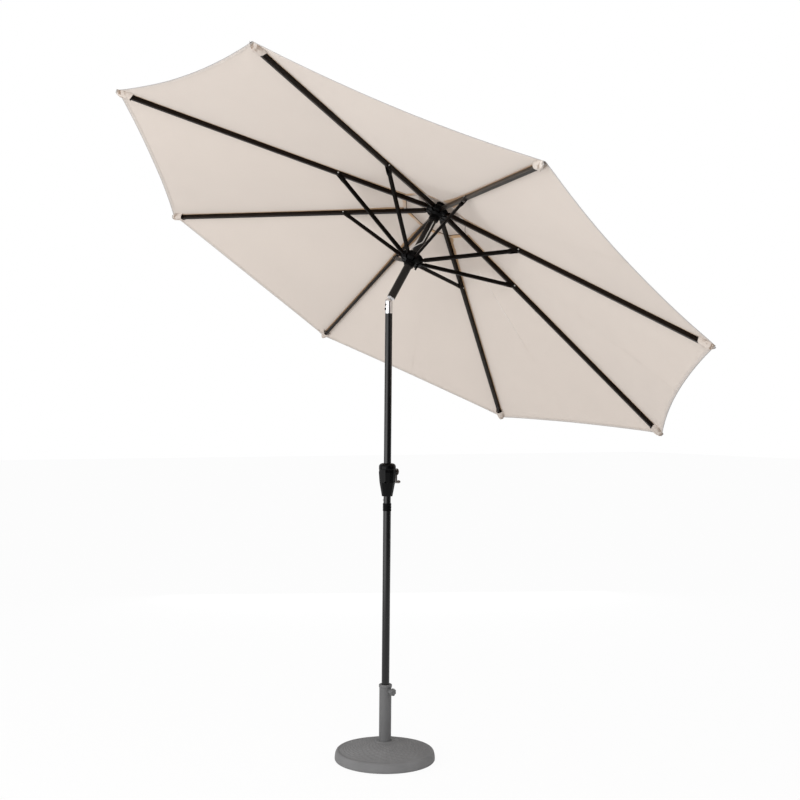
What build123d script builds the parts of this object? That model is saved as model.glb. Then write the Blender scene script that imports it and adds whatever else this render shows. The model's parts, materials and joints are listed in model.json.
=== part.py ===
from build123d import *
from math import asin, atan2, cos, degrees, hypot, radians, sin, sqrt, tan
import os

# A market umbrella with a crank lift, a tilt joint and a cast base. Millimetres and degrees.
# The row stands on its base at z = 0, and the canopy leans towards +X.

# Canopy frame: ribs and struts, as seen along the upper pole from the tilt pivot
rib_count = 8
rib_phase = 29.4  # first rib, from the side the canopy leans to
rib_reach = 1346.0  # hinge pin to the fabric's corner
rib_droop = 13.65
fold_turn = 12.15  # how far the ribs turn down before the runner meets the tilt joint
rib_pin_radius = 41.5  # circle of the rib hinges
rib_width = 12.0
rib_height = 18.0
rib_wall = 1.2
rib_cap_plug = 20.0
corner_pocket = 24.0  # the fabric's corner past the rib's end
strut_reach = 416.0  # rib hinge to strut rivet, along the rib
strut_width = 10.0
strut_height = 15.0
strut_wall = 1.2
strut_pin_radius = 40.0  # circle of the runner's pins
fork_wall = 2.0
fork_length = 34.0
fork_taper = 12.0
tongue_width = 8.0
pin_radius = 2.0
rivet_radius = 2.5
rivet_head_radius = 4.2
rivet_head_thickness = 1.2

# Fabric
fabric_thickness = 1.2
fabric_over_rib = 1.0  # clear height between rib and fabric
scallop_depth = 90.0
vent_radius = 150.0
vent_cap_radius = 385.0
vent_cap_rise = 18.0
seam_gap = 1.5
panel_sag = 1.5  # how much further than flat each half gore leans at its rib

# Heights along the upper pole, above the tilt pivot
hub_height = 461.0
runner_height = 216.0  # canopy open

# Poles
upper_radius = 17.0
upper_wall = 1.5
upper_foot = 19.0
upper_above_hub = 2.0
middle_radius = 15.0
middle_wall = 1.0
lower_radius = 16.0
lower_wall = 1.5
lower_foot = 42.0
joint_height = 1035.0  # where the lower and middle poles meet
joint_overlap = 85.0
joint_taper = 8.0
collar_height = 33.0
collar_radius = 17.6
collar_bands = 3
button_above_joint = 29.0
button_side = 148.8
button_radius = 3.0
button_travel = 2.0

# Hub and runner
hub_radius = 50.0
hub_thickness = 30.0
hub_collar_radius = 22.0
hub_collar_length = 30.0
runner_radius = 48.0
runner_thickness = 38.0
runner_sleeve_radius = 21.5
runner_sleeve_foot = 18.0
runner_sleeve_top = 10.0
runner_peg_radius = 4.0
runner_peg_length = 20.0
runner_peg_reach = 34.0
slot_depth = 14.0  # from the pin circle inwards

# Tilt joint
tilt_height = 1883.0
tilt_angle = 31.0
knuckle_radius = 15.5
knuckle_length = 49.0  # round body below the tilt pin
knuckle_slot = 12.0
knuckle_plug = 45.0
tilt_pin_radius = 4.0
tilt_button_below = 31.0
tilt_button_radius = 4.5
tilt_button_seat = 5.5  # the button bore's end, from the axis
tilt_button_travel = 2.5

# Crank
crank_height = 1180.0
housing_below = 100.0
housing_above = 35.0
housing_widest_below = 2.0
housing_radius = 36.5
housing_foot_radius = 22.5
housing_wall = 2.5
housing_sides = 12
screw_drop = 42.0
screw_reach = 23.0
screw_radius = 1.6
screw_head_radius = 3.0
screw_boss_radius = 4.5
screw_length = 30.0
screw_seat = 14.0  # the head's underside, from the seam
screw_head = 2.4
crank_shaft_radius = 5.0
spool_radius = 8.0
spool_flange = 11.5
spool_length = 9.0
shaft_boss_wall = 5.0
crank_arm_gap = 4.0  # from the housing to the arm
crank_arm_length = 42.0
crank_arm_width = 11.0
crank_arm_thickness = 4.0
crank_knob_radius = 6.5
crank_knob_length = 16.0
crank_knob_pin_radius = 2.0

# Lift cord and its pulley
cord_radius = 2.0
cord_gap = 0.3
cord_side = -97.0  # where it comes down outside the pole
cord_wrap = [  # side and height of its way round the pole to the runner
    (-97, 320), (-112, 298), (-134, 283), (-158, 272), (-182, 264), (-204, 257),
]
pulley_core = 8.0
pulley_flange = 11.0
pulley_width = 7.4
pulley_groove = 3.2
pulley_height = 398.0  # above the tilt pivot
axle_radius = 1.5
axle_length = 27.0

# Base
base_radius = 206.0
base_rim_radius = 199.0
base_rim_height = 42.0
base_rim_band = 12.0  # width of the rolled edge
base_rim_step = 2.0
base_foot_height = 10.0
base_foot_chamfer = 3.0
base_swell = 4.0  # how far the dome rises over a straight slope
base_crown_radius = 44.0
base_crown_height = 75.0
base_tube_radius = 25.0
base_tube_wall = 2.0
base_tube_foot = 16.0
base_tube_top = 300.0
sleeve_lip_radius = 27.0
sleeve_lip_height = 12.0
sleeve_lip_above = 7.5
clamp_below_top = 19.0
clamp_side = -76.0
clamp_screw_radius = 4.0
clamp_boss_radius = 9.5
clamp_boss_reach = 35.0
clamp_knob_radius = 15.0
clamp_knob_thickness = 13.0
clamp_lobes = 7

# Top ornament
finial_radius = 17.0
finial_height = 62.0
finial_neck = 5.0
finial_tip_radius = 3.0
finial_flange = 3.0

# Fits
running_fit = 0.06  # radial clearance of a turning or sliding fit
slot_play = 0.2  # each side of a tongue in its slot
part_gap = 0.3  # between pieces that pass each other

rib_spacing = 360 / rib_count
half_gore = rib_spacing / 2
fabric_height = rib_height / 2 + fabric_over_rib + fabric_thickness / 2
hub_foot = hub_height - hub_thickness / 2
hub_top = hub_height + hub_thickness / 2
runner_foot = runner_height - runner_thickness / 2
runner_top = runner_height + runner_thickness / 2
knuckle_foot = tilt_height - knuckle_length
tilt_button_height = tilt_height - tilt_button_below
button_height = joint_height + button_above_joint
housing_foot = crank_height - housing_below
housing_top = crank_height + housing_above
housing_widest = crank_height - housing_widest_below
screw_height = crank_height - screw_drop
crank_arm_start = housing_radius + crank_arm_gap
clamp_height = base_tube_top - clamp_below_top
upper_top = hub_top + upper_above_hub
cord_bend = pulley_core + cord_radius + cord_gap
cord_reach = upper_radius + cord_gap + cord_radius  # the outer strand, from the axis
pulley_offset = cord_reach - cord_bend
cord_bore_radius = abs(pulley_offset - cord_bend) + cord_radius + cord_gap
low = (Align.CENTER, Align.CENTER, Align.MIN)

os.makedirs("parts", exist_ok=True)


# Linkage, in the plane of one rib: r is the distance from the pole's axis, z is along it


def rivet_place(turn):
    droop = radians(rib_droop + turn)
    return rib_pin_radius + strut_reach * cos(droop), hub_height - strut_reach * sin(droop)


strut_length = hypot(
    rivet_place(0)[0] - strut_pin_radius, rivet_place(0)[1] - runner_height
)


def runner_drop(turn):
    """How far the runner has come down when the ribs have turned down by turn."""
    r, z = rivet_place(turn)
    return runner_height - z + sqrt(strut_length**2 - (r - strut_pin_radius) ** 2)


def strut_turn(turn):
    """How far a strut has then turned on its rivet, against its rib."""

    def between(t):
        r, z = rivet_place(t)
        lean = degrees(asin((r - strut_pin_radius) / strut_length))
        return lean - rib_droop - t

    return between(0) - between(turn)


def even_rate(motion, travel):
    """The constant rate that leaves a motion's curve by the least over its travel."""
    return (motion(travel / 2) + motion(travel)) / (1.5 * travel)


runner_rate = even_rate(runner_drop, fold_turn)
strut_rate = even_rate(strut_turn, fold_turn)


def strut_end_miss(turn):
    """How far a strut's end is from its runner pin when both move at constant rates."""
    r, z = rivet_place(turn)
    start_r, start_z = rivet_place(0)
    lean = atan2(start_z - runner_height, start_r - strut_pin_radius)
    lean += radians(strut_rate * turn - turn)
    end_r = r - strut_length * cos(lean)
    end_z = z - strut_length * sin(lean)
    return hypot(end_r - strut_pin_radius, end_z - runner_height + runner_rate * turn)


fold_steps = [fold_turn * step / 12 for step in range(13)]
strut_hole_radius = pin_radius + max(map(strut_end_miss, fold_steps)) + part_gap


# Fabric: each gore is two flat halves that meet along its middle line


def gore_point(turn, panel_turn, along, across):
    """A point of a half gore, in the canopy's frame, with the ribs turned down by turn."""
    droop = radians(rib_droop + turn)
    lean = radians(panel_turn)
    y = across * cos(lean)
    up = fabric_height + across * sin(lean)
    return rib_pin_radius + along * cos(droop) + up * sin(droop), y


def seam_distance(turn, panel_turn, along, across):
    """How far that point is from the gore's middle plane, on its own side."""
    x, y = gore_point(turn, panel_turn, along, across)
    return x * sin(radians(half_gore)) - y * cos(radians(half_gore))


droop = radians(rib_droop)
panel_apex = -(rib_pin_radius + fabric_height * sin(droop)) / cos(droop)
gore_slope = tan(radians(half_gore))
panel_rest = -degrees(atan2(sin(droop) * gore_slope, 1)) - panel_sag
panel_lean = radians(panel_rest)
panel_angle = degrees(
    atan2(gore_slope * cos(droop), cos(panel_lean) - gore_slope * sin(droop) * sin(panel_lean))
)
gore_length = (rib_reach - panel_apex) * cos(radians(panel_angle))
hem_middle = gore_length - scallop_depth
hem_chord = 2 * (rib_reach - panel_apex) * sin(radians(panel_angle))


def middle_line(distance, inset=0.0):
    """The point of the gore's middle line this far from the apex."""
    angle = radians(panel_angle - inset)
    return panel_apex + distance * cos(angle), distance * sin(angle)


def panel_swing(turn):
    """How far a half gore turns up about its rib so that the halves still meet."""
    along, across = middle_line(hem_middle)
    lower, upper = panel_rest, panel_rest + 60
    for _ in range(50):
        middle = (lower + upper) / 2
        if seam_distance(turn, middle, along, across) < 0:
            lower = middle
        else:
            upper = middle
    return lower - panel_rest


panel_rate = even_rate(panel_swing, fold_turn)
seam_overlap = max(
    -seam_distance(turn, panel_rest + panel_rate * turn, *middle_line(distance))
    for turn in fold_steps
    for distance in (vent_radius, hem_middle)
)
seam_inset = degrees((seam_overlap + seam_gap) / hem_middle)


# Shapes


def post(radius, foot, top, x=0.0, y=0.0):
    return Pos(x, y, foot) * Cylinder(radius, top - foot, align=low)


def pipe(radius, bore, foot, top):
    return post(radius, foot, top) - post(bore, foot - 1, top + 1)


def face_of(*lines):
    return make_face([edge for line in lines for edge in line.edges()])


def turned(outline):
    """A solid of revolution from an outline of (radius, height) points."""
    return revolve(face_of(Polyline(*[(r, 0, z) for r, z in outline], close=True)), Axis.Z)


def bar_along_x(radius, start, end, y=0.0, z=0.0):
    return Pos(start, y, z) * Rot(0, 90, 0) * Cylinder(radius, end - start, align=low)


def bar_along_y(radius, length, x=0.0, z=0.0):
    return Pos(x, 0, z) * Rot(90, 0, 0) * Cylinder(radius, length)


def block(x0, x1, width, z0, z1):
    return Pos((x0 + x1) / 2, 0, (z0 + z1) / 2) * Box(x1 - x0, width, z1 - z0)


def around(side):
    return Rot(0, 0, side)


def save(name, *solids):
    shapes = [solid for shape in solids for solid in shape.solids()]
    export_step(Compound(children=shapes) if len(shapes) > 1 else shapes[0], f"parts/{name}.step")


# The upper pole and all that it carries are drawn upright, then leaned over
leaned = Pos(0, 0, tilt_height) * Rot(0, tilt_angle, 0)


def rib_place(number):
    """The frame of a rib: x runs out along it from its pin, y along the pin."""
    side = rib_phase + rib_spacing * number
    return leaned * around(side) * Pos(rib_pin_radius, 0, hub_height) * Rot(0, rib_droop, 0)


def strut_place(number):
    """The frame of a strut: x runs in along it from its rivet to the runner."""
    r, z = rivet_place(0)
    lean = degrees(atan2(z - runner_height, r - strut_pin_radius))
    side = rib_phase + rib_spacing * number
    return leaned * around(side) * Pos(r, 0, z) * Rot(0, -lean, 0) * Rot(0, 0, 180)


# Base


def base_disc():
    """Cast disc: a flat underside, a rolled rim, a shallow domed top and a socket."""
    crown = (base_crown_radius, 0, base_crown_height)
    gutter = (base_rim_radius - base_rim_band, 0, base_rim_height - base_rim_step)
    swell = ((crown[0] + gutter[0]) / 2, 0, (crown[2] + gutter[2]) / 2 + base_swell)
    rim_top = (base_rim_radius - base_rim_band / 2, 0, base_rim_height)
    rim_side = (base_radius, 0, base_foot_height)
    section = face_of(
        Polyline(
            (0, 0, base_tube_foot),
            (0, 0, 0),
            (base_radius - base_foot_chamfer, 0, 0),
            (base_radius, 0, base_foot_chamfer),
            rim_side,
        ),
        TangentArc(rim_side, rim_top, tangent=(0, 0, 1)),
        Line(rim_top, gutter),
        ThreePointArc(gutter, swell, crown),
        Polyline(
            crown,
            (base_tube_radius, 0, base_crown_height),
            (base_tube_radius, 0, base_tube_foot),
            (0, 0, base_tube_foot),
        ),
    )
    return revolve(section, Axis.Z)


def clamp_place():
    return around(clamp_side) * Pos(0, 0, clamp_height)


def base_tube():
    tube = pipe(
        base_tube_radius, base_tube_radius - base_tube_wall, base_tube_foot, base_tube_top
    )
    floor = post(base_tube_radius - base_tube_wall / 2, base_tube_foot, lower_foot - part_gap)
    inside = base_tube_radius - base_tube_wall
    boss = clamp_place() * bar_along_x(clamp_boss_radius, inside, clamp_boss_reach)
    boss -= post(inside, base_tube_foot, base_tube_top)
    return tube + floor + boss - clamp_bore()


def clamp_bore():
    reach = clamp_boss_reach + 1
    return clamp_place() * bar_along_x(clamp_screw_radius + running_fit, lower_radius / 2, reach)


def base_sleeve():
    """Plastic reducer: fits the pole to the tube, with a lip over the tube's end."""
    lip_foot = base_tube_top - sleeve_lip_height + sleeve_lip_above
    lip_top = base_tube_top + sleeve_lip_above
    bore = lower_radius + running_fit
    fit = base_tube_radius - base_tube_wall
    body = turned(
        [
            (bore, lower_foot),
            (fit, lower_foot),
            (fit, base_tube_top),
            (base_tube_radius, base_tube_top),
            (base_tube_radius, lip_foot),
            (sleeve_lip_radius - 1, lip_foot),
            (sleeve_lip_radius, lip_foot + 1.5),
            (sleeve_lip_radius, lip_top - 2),
            (sleeve_lip_radius - 2, lip_top),
            (bore + 1.5, lip_top),
            (bore, lip_top - 1.5),
        ]
    )
    return body - clamp_bore()


def clamp_knob():
    """Lobed hand screw, held in the tube's boss."""
    start = clamp_boss_reach + part_gap
    end = start + clamp_knob_thickness
    knob = bar_along_x(clamp_knob_radius, start + 3, end)
    for lobe in range(clamp_lobes):
        hollow = Pos(0, clamp_knob_radius + 2.5, 0) * bar_along_x(4.5, start, end + 1)
        knob -= Rot(360 * lobe / clamp_lobes, 0, 0) * hollow
    knob += bar_along_x(clamp_boss_radius - 1, start, start + 4)
    knob += bar_along_x(clamp_screw_radius, lower_radius + part_gap, start + 1)
    knob = chamfer(knob.edges().filter_by(GeomType.CIRCLE).group_by(Axis.X)[-1], 1.5)
    return clamp_place() * knob


# Poles below the tilt joint


def button_place():
    return around(button_side) * Pos(0, 0, button_height)


def button_bore():
    return button_place() * bar_along_x(button_radius + running_fit, 0, 2 * middle_radius)


def lower_pole():
    """Tube with a swaged neck that goes up inside the middle pole."""
    neck = middle_radius - middle_wall
    neck_top = joint_height + joint_overlap
    tube = turned(
        [
            (lower_radius - lower_wall, lower_foot),
            (lower_radius, lower_foot),
            (lower_radius, joint_height - joint_taper),
            (neck, joint_height),
            (neck, neck_top - 2),
            (neck - 1, neck_top),
            (neck - lower_wall, neck_top),
            (neck - lower_wall, joint_height),
            (lower_radius - lower_wall, joint_height - joint_taper),
        ]
    )
    return tube - button_bore()


def pole_collar():
    """Trim ring of rounded bands over the joint between the poles."""
    foot = joint_height - collar_height / 2
    top = joint_height + collar_height / 2
    band = collar_height / collar_bands
    core = collar_radius - 0.8
    collar = pipe(core, lower_radius, foot + 1, joint_height)
    collar += pipe(core, middle_radius, joint_height, top - 1)
    for number in range(collar_bands):
        ring_foot = foot + band * number
        collar += turned(
            [
                (lower_radius, ring_foot + 0.8),
                (core, ring_foot + 0.8),
                (collar_radius, ring_foot + 2.4),
                (collar_radius, ring_foot + band - 2.4),
                (core, ring_foot + band - 0.8),
                (lower_radius, ring_foot + band - 0.8),
            ]
        )
    return collar


def snap_button():
    """Sprung pin that locks the two poles together, on a tongue inside the neck."""
    tip = middle_radius + button_travel + 0.6
    inside = middle_radius - middle_wall - lower_wall - part_gap
    pin = bar_along_x(button_radius, inside - 2, tip)
    pin = fillet(pin.edges().filter_by(GeomType.CIRCLE).group_by(Axis.X)[-1], 1.4)
    tongue = Pos(inside - 2, 0, -8) * Box(1.5, 7, 26)
    return button_place() * (pin + tongue)


def middle_pole():
    foot = joint_height
    tube = pipe(middle_radius, middle_radius - middle_wall, foot, knuckle_foot)
    shaft = bar_along_x(crank_shaft_radius + running_fit, -30, 30, z=crank_height)
    return tube - shaft - button_bore()


# Crank


def housing_loft(inset):
    """Tapered many-sided body with a rounded shoulder."""
    outline = [
        (housing_foot_radius, housing_foot),
        (housing_radius - 3.5, housing_widest - 42),
        (housing_radius, housing_widest),
        (housing_radius - 3, housing_widest + 18),
        (housing_radius - 10, housing_top - 7),
        (housing_foot_radius - 3.5, housing_top),
    ]
    turn = Rot(0, 0, 180 / housing_sides)
    rings = [
        Plane.XY.offset(z) * turn * RegularPolygon(radius - inset, housing_sides)
        for radius, z in outline
    ]
    return loft(rings, ruled=True)


def screw_bar(side, radius, start, end):
    """A bar along a housing screw, between two distances in front of the seam."""
    middle = Pos(side * screw_reach, -(start + end) / 2, screw_height)
    return middle * Rot(90, 0, 0) * Cylinder(radius, end - start)


def crank_housing():
    outer = housing_loft(0)
    inner = housing_loft(housing_wall) & post(housing_radius, housing_foot + 8, housing_top - 6)
    shaft = crank_shaft_radius
    ring = post(middle_radius + 2, housing_foot, housing_top)
    shaft_boss = bar_along_x(
        shaft + shaft_boss_wall, middle_radius, housing_radius + 2, z=crank_height
    )
    hollow = inner - ring - shaft_boss
    for side in (-1, 1):
        hollow -= screw_bar(side, screw_boss_radius, -housing_radius, housing_radius)
    shell = outer + (shaft_boss - ring) - hollow
    shell -= post(middle_radius, housing_foot - 1, housing_top + 1)
    bore_start = -middle_radius - 2 - part_gap
    shell -= bar_along_x(shaft + running_fit, bore_start, crank_arm_start, z=crank_height)
    for side in (-1, 1):
        shell -= screw_bar(side, screw_radius, -screw_length / 2 - 3, screw_seat)
        shell -= screw_bar(side, screw_head_radius + 0.2, screw_seat, housing_radius)
    return shell


def housing_half(side):
    height = housing_top - housing_foot
    width = 2 * (housing_radius + crank_arm_gap)
    keep = Pos(0, side * width / 2, housing_foot + height / 2) * Box(width, width, height)
    return crank_housing() & keep


def housing_screws():
    screws = []
    for side in (-1, 1):
        head_top = screw_seat + screw_head
        screw = screw_bar(side, screw_radius, -screw_length / 2, screw_seat)
        screw += screw_bar(side, screw_head_radius, screw_seat, head_top)
        slot = Pos(side * screw_reach, -head_top, screw_height)
        screws.append(screw - slot * Box(1.5 * screw_head_radius, screw_head, 0.9))
    return screws


def crank_spool():
    """Shaft across the pole, with the cord's spool in the middle."""
    shaft = bar_along_x(crank_shaft_radius, -middle_radius - 2, crank_arm_start)
    shaft += bar_along_x(spool_radius, -spool_length / 2, spool_length / 2)
    for end in (-spool_length / 2, spool_length / 2):
        shaft += bar_along_x(spool_flange, end - 0.8, end + 0.8)
    square = Box(crank_arm_thickness, crank_shaft_radius, crank_shaft_radius)
    shaft += Pos(crank_arm_start + crank_arm_thickness / 2, 0, 0) * square
    return Pos(0, 0, crank_height) * shaft


def crank_arm():
    start = crank_arm_start
    end = start + crank_arm_thickness
    knob_end = end + part_gap + crank_knob_length
    arm = block(start, end, crank_arm_width, -crank_arm_length, 0)
    arm += bar_along_x(crank_arm_width / 2, start, end, z=-crank_arm_length)
    arm += bar_along_x(crank_arm_width / 2 + 1.5, start, end + 1.5)
    arm -= Pos(start, 0, 0) * Box(2 * crank_arm_thickness, crank_shaft_radius, crank_shaft_radius)
    arm += bar_along_x(crank_knob_pin_radius, start, knob_end + 1, z=-crank_arm_length)
    arm += bar_along_x(
        crank_knob_pin_radius + 1.2, knob_end + part_gap, knob_end + 1.6, z=-crank_arm_length
    )
    return Pos(0, 0, crank_height) * arm


def crank_knob():
    foot = crank_arm_start + crank_arm_thickness + part_gap
    bore = crank_knob_pin_radius + running_fit
    knob = turned(
        [
            (bore, 0),
            (crank_knob_radius - 1.5, 0),
            (crank_knob_radius - 0.6, 2),
            (crank_knob_radius, crank_knob_length * 0.6),
            (crank_knob_radius - 0.8, crank_knob_length - 1.5),
            (crank_knob_radius - 2.2, crank_knob_length),
            (bore, crank_knob_length),
        ]
    )
    return Pos(foot, 0, crank_height - crank_arm_length) * Rot(0, 90, 0) * knob


# Tilt joint


def lower_knuckle():
    """Chrome fork: a plug in the middle pole, a round body and two domed ears."""
    pivot = Pos(0, 0, tilt_height)
    plug_foot = knuckle_foot - knuckle_plug
    slot_foot = tilt_height - knuckle_radius - 2
    body = post(knuckle_radius, knuckle_foot, tilt_height) + pivot * Sphere(knuckle_radius)
    body += post(middle_radius - middle_wall, plug_foot, knuckle_foot)
    slot = knuckle_slot + 2 * slot_play
    body -= block(-30, 30, slot, slot_foot, tilt_height + 30)
    body -= bar_along_y(tilt_pin_radius, 60, z=tilt_height)
    body -= post(cord_bore_radius, plug_foot - 1, slot_foot + 1)
    button = tilt_button_radius + running_fit
    return body - bar_along_x(button, -30, -tilt_button_seat, z=tilt_button_height)


def tilt_button():
    """Push button in the back of the knuckle that frees the joint."""
    reach = -knuckle_radius - tilt_button_travel - 0.8
    stop = -tilt_button_seat - tilt_button_travel - part_gap
    button = bar_along_x(tilt_button_radius, reach, stop, z=tilt_button_height)
    return chamfer(button.edges().filter_by(GeomType.CIRCLE).group_by(Axis.X)[0], 1)


def pivot_pin():
    return bar_along_y(tilt_pin_radius, 2 * (knuckle_radius - 1), z=tilt_height)


def upper_knuckle():
    """Tongue between the ears, with a plug up inside the upper pole."""
    plug_top = upper_foot + knuckle_plug
    tongue = bar_along_y(knuckle_radius - 1.5, knuckle_slot)
    tongue += block(-9, 9, knuckle_slot, 0, upper_foot)
    body = tongue + post(upper_radius - upper_wall, upper_foot, plug_top)
    body += post(upper_radius - 2.5, upper_foot - 2.5, upper_foot)
    body -= bar_along_y(tilt_pin_radius + running_fit, 60)
    body -= post(cord_bore_radius, upper_foot - 10, plug_top + 1)
    return leaned * body


# Upper pole, hub and runner


def pulley_place():
    return around(cord_side) * Pos(pulley_offset, 0, pulley_height)


def pulley_axle(extra=0.0):
    return pulley_place() * bar_along_y(axle_radius, axle_length + extra)


def upper_pole():
    """Tube from the tilt joint to the hub, with a window that the pulley stands in."""
    tube = pipe(upper_radius, upper_radius - upper_wall, upper_foot, upper_top)
    room = 2 * pulley_flange + 4
    window = pulley_place() * Box(room, pulley_width + 1, room)
    return leaned * (tube - window - pulley_axle(extra=20))


def slots(pin_circle, outer, foot, top):
    cut = block(pin_circle - slot_depth, outer + 5, tongue_width + 2 * slot_play, foot, top)
    return [around(rib_phase + rib_spacing * n) * cut for n in range(rib_count)]


def pins(pin_circle, height):
    pin = Pos(pin_circle, 0, height) * Rot(90, 0, 0) * Cylinder(pin_radius, tongue_width + 12)
    return [around(rib_phase + rib_spacing * n) * pin for n in range(rib_count)]


def hub():
    """Slotted crown on the pole's top, with a collar below."""
    collar_foot = hub_foot - hub_collar_length
    body = turned(
        [
            (upper_radius, collar_foot),
            (hub_collar_radius - 1.5, collar_foot),
            (hub_collar_radius, collar_foot + 2),
            (hub_collar_radius, hub_foot - 10),
            (hub_collar_radius + 7, hub_foot),
            (hub_radius - 5, hub_foot),
            (hub_radius, hub_foot + 5),
            (hub_radius, hub_top - 8),
            (hub_radius - 8, hub_top),
            (upper_radius, hub_top),
        ]
    )
    for cut in slots(rib_pin_radius, hub_radius, hub_foot - 1, hub_top + 1):
        body -= cut
    for hole in pins(rib_pin_radius, hub_height):
        body -= hole
    return leaned * body


def hub_pins():
    """The ribs' hinge pins and the pulley's axle."""
    return [leaned * pin for pin in [*pins(rib_pin_radius, hub_height), pulley_axle()]]


def pulley():
    half = pulley_width / 2
    bore = axle_radius + running_fit
    wheel = turned(
        [
            (bore, -half),
            (pulley_flange, -half),
            (pulley_flange, -half + 0.7),
            (pulley_core, -pulley_groove / 2),
            (pulley_core, pulley_groove / 2),
            (pulley_flange, half - 0.7),
            (pulley_flange, half),
            (bore, half),
        ]
    )
    return leaned * pulley_place() * Rot(90, 0, 0) * wheel


def runner():
    """Slotted ring on a sleeve that slides on the upper pole, with a cord peg below."""
    sleeve_foot = runner_foot - runner_sleeve_foot
    sleeve_top = runner_top + runner_sleeve_top
    bore = upper_radius + running_fit
    body = turned(
        [
            (bore, sleeve_foot),
            (runner_sleeve_radius - 1.5, sleeve_foot),
            (runner_sleeve_radius, sleeve_foot + 2),
            (runner_sleeve_radius, runner_foot),
            (runner_radius - 8, runner_foot),
            (runner_radius, runner_foot + 8),
            (runner_radius, runner_top - 6),
            (runner_radius - 6, runner_top),
            (runner_sleeve_radius, runner_top),
            (runner_sleeve_radius, sleeve_top - 2),
            (runner_sleeve_radius - 1.5, sleeve_top),
            (bore, sleeve_top),
        ]
    )
    for cut in slots(strut_pin_radius, runner_radius, runner_foot - 1, runner_top + 1):
        body -= cut
    for hole in pins(strut_pin_radius, runner_height):
        body -= hole
    peg_side = rib_phase - rib_spacing * 1.5
    peg = post(runner_peg_radius, runner_foot - runner_peg_length, runner_foot + 1)
    return leaned * (body + around(peg_side) * Pos(runner_peg_reach, 0, 0) * peg)


def runner_pins():
    return [leaned * pin for pin in pins(strut_pin_radius, runner_height)]


# Ribs, struts and fabric


def rib():
    """Box tube with a flat tongue at the hub and a moulded cap at the tip."""
    half = rib_height / 2
    inside = half - rib_wall
    inner_width = rib_width - 2 * rib_wall
    foot = hub_radius - rib_pin_radius + 8
    tip = rib_reach - corner_pocket - rib_width
    tube = block(foot, tip, rib_width, -half, half)
    tube -= block(foot - 1, tip + 1, inner_width, -inside, inside)
    tube -= bar_along_y(rivet_radius + running_fit, rib_width + 2, x=strut_reach)
    tongue = block(0, foot + 30, tongue_width, -inside, inside)
    tongue += bar_along_y(inside, tongue_width)
    tongue -= bar_along_y(pin_radius + running_fit, rib_width)
    tongue += block(foot, foot + 30, inner_width, -inside, inside)
    cap = block(tip - rib_cap_plug, tip, inner_width, -inside, inside)
    end = block(tip, rib_reach - corner_pocket, rib_width, -half, half)
    cap += chamfer(end.edges().group_by(Axis.X)[-1], 3)
    return [tube, tongue, cap]


def strut():
    """Box tube with a fork at the rib, a rivet through it and a flat end for the runner."""
    ear = rib_width / 2 + slot_play
    width = 2 * (ear + fork_wall)
    half = strut_height / 2
    inside = half - strut_wall
    neck = fork_length + 4
    taper_end = neck + fork_taper
    body = block(0, taper_end, width, -half, half) + bar_along_y(half, width)
    body -= block(-2 * half, fork_length, 2 * ear, -half - 1, half + 1)
    for side in (-1, 1):
        outer = side * (width / 2 + 1)
        wedge = face_of(
            Polyline(
                (neck, outer, -half - 1),
                (neck, side * width / 2, -half - 1),
                (taper_end, side * strut_width / 2, -half - 1),
                (taper_end + 1, side * strut_width / 2, -half - 1),
                (taper_end + 1, outer, -half - 1),
                close=True,
            )
        )
        body -= extrude(wedge, amount=2 * half + 2, dir=(0, 0, 1))
    tail = strut_length - (runner_radius - strut_pin_radius) - 12
    body += block(taper_end - 2, tail, strut_width, -half, half)
    body -= block(fork_length - 1, tail - 12, strut_width - 2 * strut_wall, -inside, inside)
    eye = strut_hole_radius + 2.2
    end = block(tail - 1, strut_length, tongue_width, -eye, eye)
    end += bar_along_y(eye, tongue_width, x=strut_length)
    body += end - bar_along_y(strut_hole_radius, tongue_width + 2, x=strut_length)
    body -= bar_along_y(rivet_radius, width + 2)
    rivet = bar_along_y(rivet_radius, width)
    head_middle = (width + rivet_head_thickness) / 2
    for side in (-1, 1):
        head = Cylinder(rivet_head_radius, rivet_head_thickness)
        rivet += Pos(0, side * head_middle, 0) * Rot(90, 0, 0) * head
    return [body, rivet]


def panel(side):
    """Half a gore: from its rib to the gore's middle line, with a scalloped hem."""
    corner = (rib_reach, seam_gap)
    vent_start = vent_radius - rib_pin_radius
    vent_reach = (vent_start - panel_apex) * cos(radians(panel_angle))
    hem_radius = (hem_chord**2 / 4 + scallop_depth**2) / (2 * scallop_depth)
    centre = middle_line(hem_middle + hem_radius)
    half_span = degrees(asin(hem_chord / 2 / hem_radius))
    aim = radians(180 + panel_angle + half_span / 2)
    bow = (centre[0] + hem_radius * cos(aim), centre[1] + hem_radius * sin(aim))
    outline = face_of(
        Line((vent_start, seam_gap), corner),
        ThreePointArc(corner, bow, middle_line(hem_middle, seam_inset)),
        Line(middle_line(hem_middle, seam_inset), middle_line(vent_reach, seam_inset)),
        Line(middle_line(vent_reach, seam_inset), (vent_start, seam_gap)),
    )
    sheet = Pos(0, 0, -fabric_thickness / 2) * extrude(
        outline, amount=fabric_thickness, dir=(0, 0, 1)
    )
    sheet = Pos(0, 0, fabric_height) * Rot(panel_rest, 0, 0) * sheet
    return sheet if side > 0 else mirror(sheet, Plane.XZ)


def cap_peak():
    """Where the underside of the vent cap would meet the pole's axis."""
    over_hub = (fabric_height + vent_cap_rise) / cos(droop)
    return hub_height + over_hub + rib_pin_radius * tan(droop)


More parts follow.
